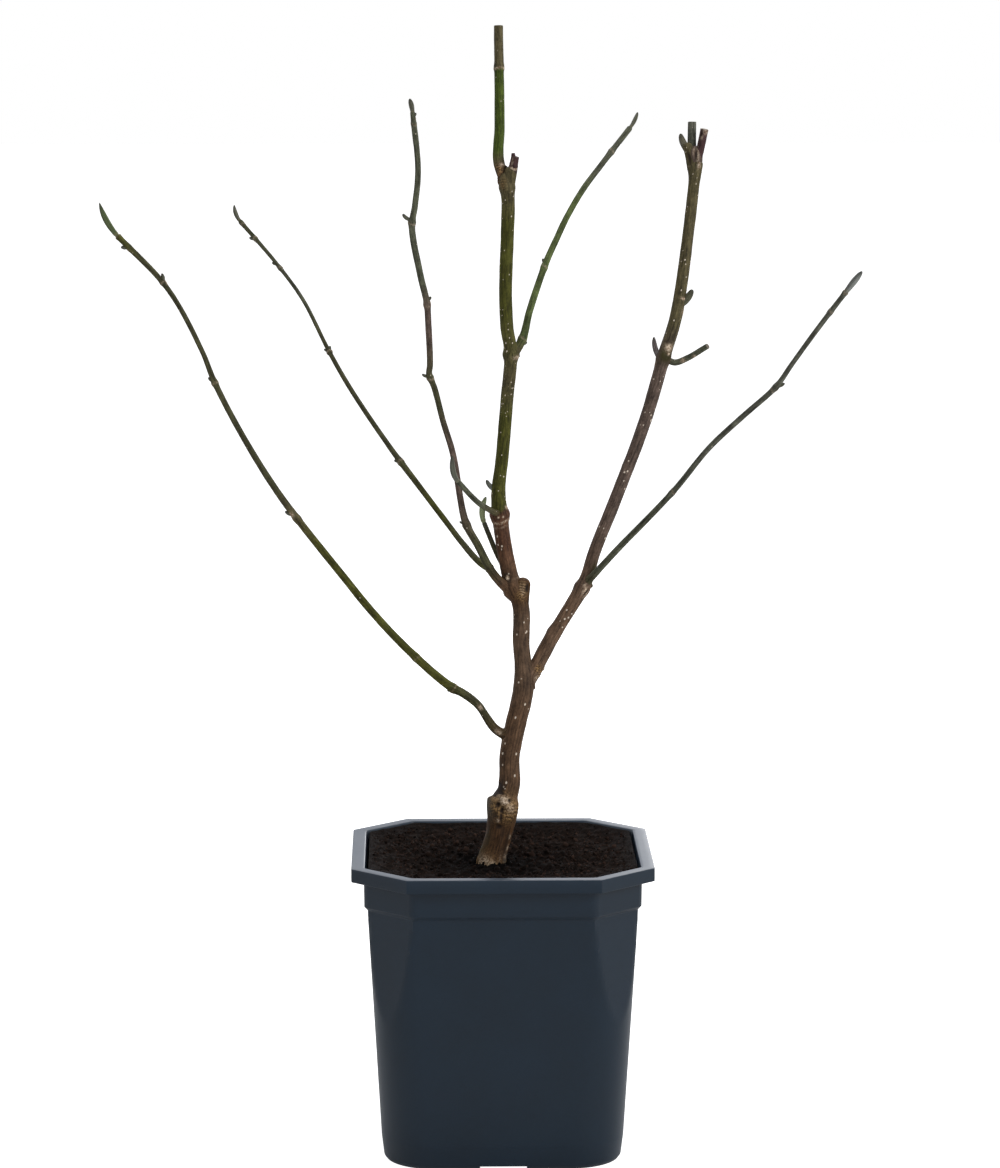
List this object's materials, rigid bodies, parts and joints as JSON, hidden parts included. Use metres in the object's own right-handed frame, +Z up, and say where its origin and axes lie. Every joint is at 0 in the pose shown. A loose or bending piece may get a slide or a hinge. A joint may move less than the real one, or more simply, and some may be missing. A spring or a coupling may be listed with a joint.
{
  "type": "potted saucer magnolia",
  "caption": "Leafless young magnolia with a leaning trunk, upswept boughs and budded twigs, standing in a square plastic nursery pot filled with peat.",
  "frame": {"origin": "centre of the pot's flat underside", "axes": "+Z up along the plant, -Y towards the side that the picture shows, +X to the viewer's right"},
  "size_m": [0.4835, 0.2655, 0.7484],
  "materials": {
    "slate_plastic": "moulded slate-grey plastic with a soft sheen",
    "dark_soil": "dark granular peat",
    "brown_bark": "smooth brown bark with pale lenticels",
    "green_bark": "smooth olive-green young bark",
    "twigs": "olive-brown twigs with downy buds"
  },
  "bodies": {
    "root": {"pot": "slate_plastic", "soil": "dark_soil", "trunk": "brown_bark", "right_bough": "brown_bark", "right_lower_bough": "green_bark", "lower_left_bough": "green_bark", "inner_left_bough": "brown_bark", "upper_left_bough": "green_bark", "right_upper_twigs": "twigs", "right_lower_twigs": "twigs", "lower_left_twigs": "twigs", "inner_left_twigs": "twigs", "upper_left_twigs": "twigs", "upper_right_twigs": "twigs", "top_twig": "twigs", "front_spur": "twigs", "rear_spur": "twigs"}
  },
  "joints": []
}
